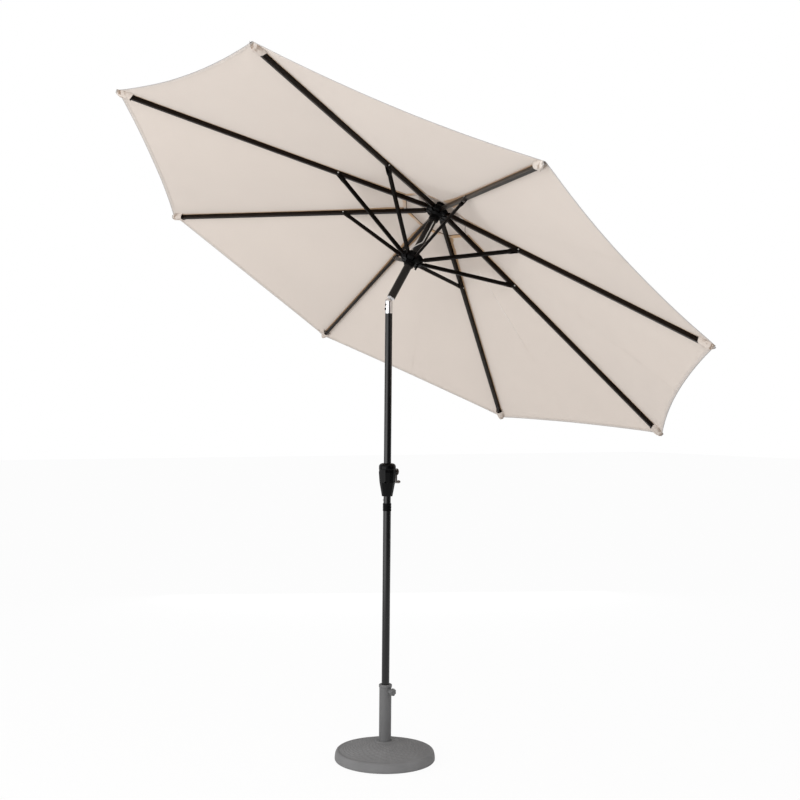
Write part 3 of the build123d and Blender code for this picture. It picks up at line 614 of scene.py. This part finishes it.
def goreLift(number, reach, turn):
    share = (reach - ventReach(turn)) / (hemReach(turn) - ventReach(turn))
    share = min(1.0, max(0.0, share))
    aside = 1 - abs(turn - halfAngle) / halfAngle  # 0 at a rib, 1 at the middle
    depth = canopy["ventDip"] + (1 - canopy["ventDip"]) * share**1.2
    dip = canopy["dip"] * aside * (2 - aside) * depth
    nearRib = min(turn, 2 * halfAngle - turn)
    fromCorner = hypot(cornerReach - reach * cos(nearRib), reach * sin(nearRib))
    bearing = atan2(reach * sin(nearRib), max(cornerReach - reach * cos(nearRib), 1e-4))
    fade = exp(-fromCorner / canopy["cornerFade"]) * min(1.0, fromCorner / 0.05) * sin(min(bearing * 1.6, pi))
    fold = canopy["cornerFolds"] * fade * sin(bearing * 16 + number * 1.7)
    softly = noise.noise(Vector((reach * 2.2, turn * 3.0, number * 7.3)))
    waves = canopy["waves"] * softly * aside * (2 - aside)
    return -dip + fold + waves


def clothRows(rows, hem):
    # Each row is a share between the edges, how far in from the edge it is folded back, and its drop
    before = [(0.0, hem, hemDrop)] + [(0.0, inward, drop) for inward, drop in hemTurn]
    plain = [(row / (rows - 1), 0.0, 0.0) for row in range(rows)]
    after = [(1.0, -inward, drop) for inward, drop in reversed(hemTurn)] + [(1.0, -hem, hemDrop)]
    return before + plain + after


def clothHalf(name, number, left, inner, outer, lift, shape):
    # Half a gore beside rib `number`: the left half lies in gore `number`, the right half in the one before
    rows = clothRows(shape["rows"], shape["hem"])
    gore = number if left else number - 1
    points, flat, edge, bindingAndGlow = [], [], [], []
    for share, fold, drop in rows:
        for column in range(shape["columns"]):
            across = (column / (shape["columns"] - 1)) ** columnCrowding
            last = left and column == shape["columns"] - 1  # the left half laps a little over the right one
            turn = across * halfAngle + shape["lap"] * last if left else (2 - across) * halfAngle
            reach = inner(turn) + share * (outer(turn) - inner(turn)) + fold
            height = lift(gore, reach, turn) - drop + lapLift * last
            points.append(gorePoint(gore, reach, turn, height, shape["rise"]))
            flat.append((reach * cos(turn - halfAngle) + gore * 3.1, reach * sin(turn - halfAngle)))
            edge.append((reach * turn, abs(outer(turn) - reach)))
            bindingAndGlow.append((reach * turn, abs(reach - inner(turn))))
    faces = gridFaces(len(rows), shape["columns"])
    if not left:
        faces = [face[::-1] for face in faces]
    piece = makePiece(name, points, faces, {"flat": flat, "edge": edge, "bindingAndGlow": bindingAndGlow})
    piece.data.materials.append(materials[shape["finish"]])
    return piece


def bendWithRib(piece):
    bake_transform(piece)


def goreArea(inner, outer, steps=60):
    # Flat area of half a gore between its two edges
    total = 0.0
    for step in range(steps):
        turn = (step + 0.5) / steps * halfAngle
        total += (outer(turn) ** 2 - inner(turn) ** 2) / 2 * halfAngle / steps
    return total


def capOuter(turn):
    far = vent["radius"] / cos(droop)
    straight = far * cos(halfAngle) / cos(turn - halfAngle)
    aside = 1 - abs(turn - halfAngle) / halfAngle
    return straight - vent["scallop"] * aside * (2 - aside)


def capInner(turn):
    return vent["inner"] / cos(droop) * cos(halfAngle) / cos(turn - halfAngle)


def capLift(number, reach, turn):
    share = (reach - capInner(turn)) / (capOuter(turn) - capInner(turn))
    share = min(1.0, max(0.0, share))
    aside = 1 - abs(turn - halfAngle) / halfAngle
    down = (1 - aside) ** 3 * share**3 * (vent["rise"] - vent["clearance"])
    billow = vent["billow"] * sin(pi * share) * aside * (2 - aside)
    softly = noise.noise(Vector((reach * 6.0, turn * 4.0, number * 3.7)))
    return billow - down + vent["waves"] * softly * aside


def makeCanopy():
    area = goreArea(ventReach, hemReach)
    capArea = goreArea(capInner, capOuter)
    for number in range(1, canopy["ribs"] + 1):
        for left, side in ((True, "left"), (False, "right")):
            half = clothHalf(f"gore_{number}_{side}", number, left, ventReach, hemReach, goreLift, canopy)
            bendWithRib(half)
            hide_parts(f"panel_{number}_{side}")
            cap = clothHalf(f"ventCap_{number}_{side}", number, left, capInner, capOuter, capLift, vent)
            bendWithRib(cap)


makeCanopy()
print("canopy made:", canopy["ribs"], "gores in halves")


def makeCrown():
    # Round patch under the finial that holds the vent cap's gores together
    count, rings = 64, 12
    points, flat, edge, bindingAndGlow = [], [], [], []
    for ring in range(rings):
        radius = vent["crownInner"] + (vent["crownRadius"] - vent["crownInner"]) * ring / (rings - 1)
        for step in range(count):
            side = 2 * pi * step / count
            gore = (side - radians(canopy["ribPhase"])) % spacing
            out = radius * cos(spacing / 2) / cos(gore - spacing / 2)
            high = apexHeight + vent["rise"] / cos(droop) - tan(droop) * radius + vent["crownAbove"]
            points.append(leaned @ Vector((out * cos(side), out * sin(side), high)))
            flat.append((out * cos(side), out * sin(side)))
            edge.append((radius * side, vent["crownRadius"] - radius))
            bindingAndGlow.append((radius * side, unbound))
    maps = {"flat": flat, "edge": edge, "bindingAndGlow": bindingAndGlow}
    piece = makePiece("ventCrown", points, gridFaces(rings, count, True), maps)
    thicken(piece, vent["crownThickness"])
    piece.data.materials.append(materials["capCloth"])
    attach(piece, "mast")
    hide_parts("vent_cap")


makeCrown()

# Seam tapes along the ribs, the lower one tan with a painted orange glow, and pockets over their ends with
# painted shade in their creases
trim = {
    "tapeWidth": 0.030,
    "tapeSpread": 0.034,  # how much wider it is at the vent
    "tapeFade": 0.16,  # how soon it narrows
    "tapeStart": 0.118,
    "tapeEnd": 1.30,
    "tapeThickness": 0.0007,
    "tapeRipple": 0.0004,
    "tapeLift": -0.0009,
    "fellWidth": 0.012,
    "fellLift": 0.0010,
    "edgeMargin": 0.009,  # from a tape's edge to where its stitches would start
    "pocketMouth": 1.282,
    "pocketTip": 1.350,
    "pocketSlant": 0.010,  # how much later the mouth starts under the rib
    "pocketWidth": 0.021,
    "pocketTaper": 0.70,
    "pocketDepth": 0.0128,
    "pocketTop": -0.0014,
    "pocketFlat": (0.062, 0.080),
    "pleats": 0.0028,
    "ripples": 0.0016,
    "crinkles": 0.0007,
    "tuckRows": 4,  # rows folded in at the mouth
    "tuckStep": 0.003,
    "tuckDepth": 0.0010,
    "ribEnd": 1.322,
}


def clothTop(aside):
    # Height of the cloth over a rib, in the rib's frame
    lean = -atan2(sin(droop) * tan(spacing / 2), 1)
    return canopy["clothHeight"] + abs(aside) * tan(lean)


def makeTape(number, name, width, spread, offset):
    place = ribFrame(number)
    rows, columns = 80, 9
    length = trim["tapeEnd"] - trim["tapeStart"]
    points, flat, edge, bindingAndGlow = [], [], [], []
    for row in range(rows):
        along = length * row / (rows - 1)
        wide = width + spread * exp(-along / trim["tapeFade"])
        for column in range(columns):
            aside = wide * (column / (columns - 1) - 0.5)
            ripple = trim["tapeRipple"] * noise.noise(Vector((along * 40, aside * 90, number * 5.0)))
            high = clothTop(aside) + offset + ripple
            points.append(place @ Vector((along + trim["tapeStart"], aside, high)))
            flat.append((along, aside))
            edge.append((along, wide / 2 - abs(aside) + trim["edgeMargin"]))
            bindingAndGlow.append((along, unbound))
    maps = {"flat": flat, "edge": edge, "bindingAndGlow": bindingAndGlow}
    piece = makePiece(name, points, gridFaces(rows, columns), maps)
    thicken(piece, trim["tapeThickness"])
    piece.data.materials.append(materials["seamCloth"] if offset < 0 else materials["plainCloth"])
    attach(piece, f"rib_{number}")


def makePocket(number):
    # Sewn sleeve over the rib's end, creased where the cloth is gathered into the corner
    place = ribFrame(number)
    rows, columns = 36, 45
    length = trim["pocketTip"] - trim["pocketMouth"]
    points, flat, edge, bindingAndGlow, crease = [], [], [], [], []
    for row in range(-trim["tuckRows"], rows):
        share = max(0.0, row / (rows - 1))
        tuck = -min(0, row)
        half = trim["pocketWidth"] * (1 - trim["pocketTaper"] * share**2.4)
        beyond = max(0.0, (trim["pocketMouth"] + length * share - trim["ribEnd"] - 0.002) / 0.026)
        depth = trim["pocketDepth"] * (1 - min(1.0, beyond) ** 1.5)
        for column in range(columns):
            spread = 2 * column / (columns - 1) - 1
            aside = half * spread
            top = clothTop(aside) + trim["pocketTop"]
            hump = (1 - abs(spread) ** 2.6) ** 0.8
            slant = trim["pocketSlant"] * (1 - share) * (1 - abs(spread)) ** 0.7 * (1 + 0.5 * spread)
            along = trim["pocketMouth"] + length * share + slant + trim["tuckStep"] * max(0, tuck - 1)
            pleat = exp(-(((spread - 0.62 + 0.7 * share) / 0.10) ** 2)) * (1 - share) ** 0.4
            pleat += exp(-(((spread + 0.50 - 0.6 * share) / 0.12) ** 2)) * (0.3 + 0.7 * share)
            ripple = noise.noise(Vector((along * 60, aside * 150, number * 9.0)))
            fine = noise.noise(Vector((along * 160, aside * 320, number * 4.0)))
            bulge = (trim["pleats"] * pleat + trim["ripples"] * ripple + trim["crinkles"] * fine) * hump
            inside = trim["tuckDepth"] * min(1, tuck) * hump
            points.append(place @ Vector((along, aside, top - (top + depth) * hump - bulge + inside)))
            flat.append((along, aside * 1.6))
            edge.append((aside, length * (1 - share) + 0.001))
            bindingAndGlow.append((aside, unbound))
            # Painted shade: brown in the grooves where the gathered cloth folds, kept in the crease map
            gathered = min(1.0, max(0.0, (share - 0.15) * 1.6))
            groove = min(1.0, max(0.0, -ripple * 3.2 - 0.35 * pleat + 0.15))
            crease.append((0.75 * groove * gathered, min(1.0, max(0.0, (share - 0.86) / 0.12)) * 0.8))
    maps = {"flat": flat, "edge": edge, "bindingAndGlow": bindingAndGlow, "crease": crease}
    piece = makePiece(f"pocket_{number}", points, gridFaces(rows + trim["tuckRows"], columns), maps)
    piece.data.materials.append(materials["plainCloth"])
    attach(piece, f"rib_{number}")


for number in range(1, canopy["ribs"] + 1):
    makeTape(number, f"seamTape_{number}", trim["tapeWidth"], trim["tapeSpread"], trim["tapeLift"])
    makeTape(number, f"seamFell_{number}", trim["fellWidth"], 0.0, trim["fellLift"])
    makePocket(number)
print("seams and pockets made")

# Lift cord: up inside the pole, over the pulley, down outside and round the pole to the runner
cord = {
    "radius": 0.0021,
    "side": -97.0,
    "foot": 0.021,
    "halfway": 0.2,
    "fixedAt": 0.394,  # height where the strand stays with the pole
    "freeAt": 0.312,  # height where it goes all the way with the runner
    "inner": -0.0013,  # strand inside the pole, from the pole's axis
    "overPulley": [(-0.0013, 0.394), (-0.0013, 0.4023), (0.00473, 0.4083), (0.01327, 0.4083),
                   (0.0193, 0.4023), (0.0193, 0.394)],
    "wrap": [(-97, 0.330), (-97, 0.312), (-97, 0.300), (-106, 0.293), (-128, 0.282), (-152, 0.272),
             (-176, 0.264), (-198, 0.257), (-204, 0.250), (-204, 0.246)],  # side in degrees, height
    "wrapReach": 0.0199,
}


def onPole(side, reach, height):
    turned = radians(side)
    return leaned @ Vector((reach * cos(turned), reach * sin(turned), height))


def smoothRoute(name, points):
    # Points along a smooth spline through a cord's route
    curve = bpy.data.curves.new(name, "CURVE")
    curve.dimensions = "3D"
    curve.resolution_u = 10
    spline = curve.splines.new("NURBS")
    spline.points.add(len(points) - 1)
    for point, place in zip(spline.points, points):
        point.co = (*place, 1)
    spline.order_u = 3
    spline.use_endpoint_u = True
    holder = bpy.data.objects.new(name, curve)
    scene.collection.objects.link(holder)
    bpy.context.view_layer.update()
    line = bpy.data.meshes.new_from_object(holder)
    path = [vertex.co.copy() for vertex in line.vertices]
    bpy.data.objects.remove(holder)
    bpy.data.curves.remove(curve)
    bpy.data.meshes.remove(line)
    return path


def makeTube(name, path, radius, sides):
    points, maps = [], []
    along = 0.0
    reference = Vector((0.31, 0.87, 0.12))
    for index, middle in enumerate(path):
        ahead = (path[min(index + 1, len(path) - 1)] - path[max(index - 1, 0)]).normalized()
        first = ahead.cross(reference).normalized()
        second = ahead.cross(first)
        if index:
            along += (middle - path[index - 1]).length
        for side in range(sides + 1):
            turn = 2 * pi * side / sides
            points.append(middle + radius * (cos(turn) * first + sin(turn) * second))
            maps.append((side / sides, along))
    return makePiece(name, points, gridFaces(len(path), sides + 1), {"flat": maps})


def makeCord():
    side = cord["side"]
    route = [onPole(side, reach, height) for reach, height in cord["overPulley"]]
    route += [onPole(azimuth, cord["wrapReach"], height) for azimuth, height in cord["wrap"]]
    strand = makeTube("liftCordOutside", smoothRoute("outsideRoute", route), cord["radius"], 14)
    strand.data.materials.append(materials["cord"])
    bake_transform(strand)
    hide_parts("lift_cord")
    inside = [onPole(side, cord["inner"], cord["foot"]), onPole(side, cord["inner"], cord["halfway"]),
              onPole(side, *cord["overPulley"][0])]
    hidden = makeTube("liftCordInside", smoothRoute("insideRoute", inside), cord["radius"], 10)
    hidden.data.materials.append(materials["cord"])
    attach(hidden, "mast")


makeCord()

# Domed rivet heads at the struts' forks
rivet = {"radius": 0.0036, "rise": 0.0014, "aside": 0.0094, "reach": 0.416}


def makeRivets(number):
    place = ribFrame(number)
    points, faces = [], []
    rings, count = 6, 20
    for sign in (-1, 1):
        start = len(points)
        for ring in range(rings):
            turn = pi / 2 * ring / (rings - 1)
            for step in range(count):
                side = 2 * pi * step / count * sign
                out = rivet["radius"] * max(cos(turn), 0.02)
                high = sign * (rivet["aside"] + rivet["rise"] * sin(turn))
                points.append(place @ Vector((rivet["reach"] + out * cos(side), high, out * sin(side))))
        faces += [face[::-1] for face in gridFaces(rings, count, True, start)]
    piece = makePiece(f"rivetHeads_{number}", points, faces)
    piece.data.materials.append(materials["steel"])
    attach(piece, f"strut_{number}")


for number in range(1, canopy["ribs"] + 1):
    makeRivets(number)
print("cord and rivets made")

# Turned trims: shoulder of the crank housing and hub disc of the crank, as outlines of radius and height
trims = {
    "shoulder": [(0.0330, -0.0262), (0.0343, -0.0256), (0.0347, -0.0235), (0.0347, -0.0140), (0.0340, -0.0092),
                 (0.0322, -0.0055), (0.0292, -0.0024), (0.0255, -0.0004), (0.0215, 0.0006), (0.0158, 0.0008)],
    "crankHub": [(0.0070, 0.0000), (0.0122, 0.0000), (0.0135, 0.0008), (0.0138, 0.0022), (0.0132, 0.0034),
                 (0.0118, 0.0040), (0.0112, 0.0033), (0.0060, 0.0028), (0.0048, 0.0040), (0.0002, 0.0044)],
    "hubInset": 0.0042,
    "hubBelow": 0.007,
    "sides": 48,
    "thickness": 0.0006,
}


def makeTurned(name, outline, place, body, finish):
    count = trims["sides"]
    points = []
    for radius, height in outline:
        for step in range(count):
            side = 2 * pi * step / count
            points.append(place @ Vector((radius * cos(side), radius * sin(side), height)))
    piece = makePiece(name, points, gridFaces(len(outline), count, True))
    thicken(piece, trims["thickness"])
    piece.data.materials.append(materials[finish])
    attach(piece, body)


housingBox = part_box("housing_left")
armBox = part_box("crank_arm")
shoulderPlace = Matrix.Translation((0, 0, housingBox[1][2]))
hubMiddle = (armBox[0][0] + trims["hubInset"], 0, armBox[1][2] - trims["hubBelow"])
hubPlace = Matrix.Translation(hubMiddle) @ Matrix.Rotation(pi / 2, 4, "Y")
makeTurned("housingShoulder", trims["shoulder"], shoulderPlace, "pole", "housing_plastic")
makeTurned("crankHub", trims["crankHub"], hubPlace, "crank", "crank_metal")
print("trims made")

# Cast base with a woven relief
base = {
    "stakes": 48,
    "stakeHeight": 0.35,  # share of the relief
    "ringPitch": 0.0096,
    "relief": 0.0017,
    "reliefStart": 0.054,
    "reliefEnd": 0.182,
    "reliefFade": 0.006,
    "overs": 0.38,  # how much higher a strand runs over a stake
    "sunk": 0.45,
    "domeStart": 0.044,
    "domeEnd": 0.187,
    "domeRings": 96,
    "domeStop": 0.184,
    "crownHeight": 0.075,
    "crownSlope": -0.06,
    "rimHeight": 0.038,
    "rimSlope": -0.34,
    "steps": 384,
}


def baseTop(radius):
    # Height of the disc's dome between its crown and its rim
    width = base["domeEnd"] - base["domeStart"]
    share = min(1.0, max(0.0, (radius - base["domeStart"]) / width))
    rest = 1 - share
    height = base["crownHeight"] * (1 + 2 * share) * rest**2 + base["rimHeight"] * share**2 * (3 - 2 * share)
    return height + width * (base["crownSlope"] * share * rest**2 - base["rimSlope"] * share**2 * rest)


def weaveRelief(radius, side):
    inside = min(1.0, max(0.0, (radius - base["reliefStart"]) / base["reliefFade"]))
    inside *= min(1.0, max(0.0, (base["reliefEnd"] - radius) / base["reliefFade"]))
    ring = (radius - base["reliefStart"]) / base["ringPitch"]
    strand = abs(sin(pi * ring)) ** 0.7
    overs = cos(side * base["stakes"] / 2 + pi * int(ring))
    stake = max(0.0, cos(side * base["stakes"])) ** 3 * base["stakeHeight"]
    level = 1 - base["overs"] + base["overs"] * overs
    return base["relief"] * inside * (strand * level + stake - base["sunk"])


def makeBase():
    outline = [(0.0252, 0.0745), (0.0254, 0.0772), (0.0270, 0.0776), (0.0340, 0.0776), (0.0375, 0.0774),
               (0.0392, 0.0768), (0.0398, 0.0757), (0.0405, 0.0750), (0.0420, 0.0748), (0.044, 0.0750)]
    ring = (base["domeStop"] - base["domeStart"]) / base["domeRings"]
    radii = [base["domeStart"] + ring * step for step in range(1, base["domeRings"] + 1)]
    outline += [(radius, baseTop(radius)) for radius in radii]
    outline += [(0.187, 0.0379), (0.190, 0.0391), (0.1935, 0.0396), (0.1965, 0.0390), (0.1990, 0.0370),
                (0.2018, 0.0325), (0.2042, 0.0248), (0.2056, 0.0155), (0.2060, 0.0080), (0.2058, 0.0035),
                (0.2040, 0.0010), (0.2000, 0.0), (0.150, 0.0), (0.05, 0.0)]
    points = []
    count = base["steps"]
    for radius, height in outline:
        for step in range(count):
            side = 2 * pi * step / count
            onDome = base["domeStart"] < radius < base["domeEnd"] and height > 0
            raised = weaveRelief(radius, side) if onDome else 0.0
            points.append((radius * cos(side), radius * sin(side), height + raised))
    faces = [face[::-1] for face in gridFaces(len(outline), count, True)]
    last = (len(outline) - 1) * count
    faces.append(tuple(range(last, last + count))[::-1])
    piece = makePiece("castBase", points, faces)
    piece.data.materials.append(materials["resin"])
    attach(piece, "base")
    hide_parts("base_disc")


makeBase()
print("base made")

# Stage: floor, world and lamps
studio = {
    "worldStrength": 0.745,
    "floorHalf": 30,
    "floorHeight": -0.0005,
    "floorColour": (0.86, 0.86, 0.86),
    "floorShown": 0.93,  # share of the floor that the camera sees as plain white
    "cardColour": (0.16, 0.16, 0.16),
}
flags = {  # dark cards round the sides, seen only in reflections
    "back": {"place": (3.4, 4.0, 1.6), "aim": (0, 0, 1.4), "size": (12.0, 6.0)},
    "right": {"place": (1.4, -5.0, 1.6), "aim": (0, 0, 1.4), "size": (11.0, 6.0)},
}


def makeFlat(name, wide, high):
    corners = [(-wide, -high, 0), (wide, -high, 0), (wide, high, 0), (-wide, high, 0)]
    return makePiece(name, corners, [(0, 1, 2, 3)])


def aimAt(thing, settings):
    thing.location = settings["place"]
    aim = Vector(settings["aim"]) - Vector(settings["place"])
    thing.rotation_euler = aim.to_track_quat("-Z", "Y").to_euler()


def makeFlags():
    material, tree = newMaterial("darkCard")
    dark = addNode(tree, "BsdfDiffuse", {"Color": (*studio["cardColour"], 1)})
    addNode(tree, "OutputMaterial", {"Surface": dark.outputs[0]})
    for name, settings in flags.items():
        wide, high = settings["size"]
        card = makeFlat(f"{name}Card", wide / 2, high / 2)
        aimAt(card, settings)
        card.data.materials.append(material)
        card.visible_camera = card.visible_diffuse = card.visible_shadow = card.visible_transmission = False


def makeFloor():
    floor = makeFlat("floor", studio["floorHalf"], studio["floorHalf"])
    floor.location.z = studio["floorHeight"]
    material, tree = newMaterial("paleFloor")
    path = addNode(tree, "LightPath")
    seen = calc(tree, "MAXIMUM", path.outputs["Is Camera Ray"], path.outputs["Is Glossy Ray"])
    matt = addNode(tree, "BsdfDiffuse", {"Color": (*studio["floorColour"], 1)})
    white = addNode(tree, "Emission", {"Color": (1, 1, 1, 1), "Strength": 1.0})
    share = calc(tree, "MULTIPLY", seen, studio["floorShown"])
    both = addNode(tree, "MixShader", {0: share, 1: matt.outputs[0], 2: white.outputs[0]})
    addNode(tree, "OutputMaterial", {"Surface": both.outputs[0]})
    floor.data.materials.append(material)


def makeWorld():
    world = bpy.data.worlds.new("studio")
    scene.world = world
    world.use_nodes = True
    tree = world.node_tree
    tree.nodes.clear()
    path = addNode(tree, "LightPath")
    seen = calc(tree, "MAXIMUM", path.outputs["Is Camera Ray"], path.outputs["Is Glossy Ray"])
    seen = calc(tree, "MAXIMUM", seen, path.outputs["Is Transmission Ray"])
    soft = addNode(tree, "Background", {"Color": (1, 1, 1, 1), "Strength": studio["worldStrength"]})
    white = addNode(tree, "Background", {"Color": (1, 1, 1, 1), "Strength": 1.0})
    both = addNode(tree, "MixShader", {0: seen, 1: soft.outputs[0], 2: white.outputs[0]})
    addNode(tree, "OutputWorld", {"Surface": both.outputs[0]})


lamps = {
    "leftSoft": {"place": (-4.0, -0.55, 1.25), "aim": (0, 0, 1.3), "size": (4.6, 2.5), "power": 78},
    "backSoft": {"place": (2.4, 3.9, 0.5), "aim": (0.3, -0.5, 1.9), "size": (3.5, 1.0), "power": 40,
                 "fill": True},
    "frontSoft": {"place": (-2.2, -2.6, 2.9), "aim": (0, 0, 0.05), "size": (0.9, 0.9), "power": 34,
                  "fill": True},
}


def makeLamps():
    for name, settings in lamps.items():
        data = bpy.data.lights.new(name, "AREA")
        data.shape = "RECTANGLE"
        data.size, data.size_y = settings["size"]
        data.energy = settings["power"]
        lamp = bpy.data.objects.new(name, data)
        aimAt(lamp, settings)
        lamp.visible_glossy = not settings.get("fill")  # a fill lamp leaves no highlight
        scene.collection.objects.link(lamp)


makeFloor()
makeWorld()
makeLamps()
makeFlags()
print("stage made")
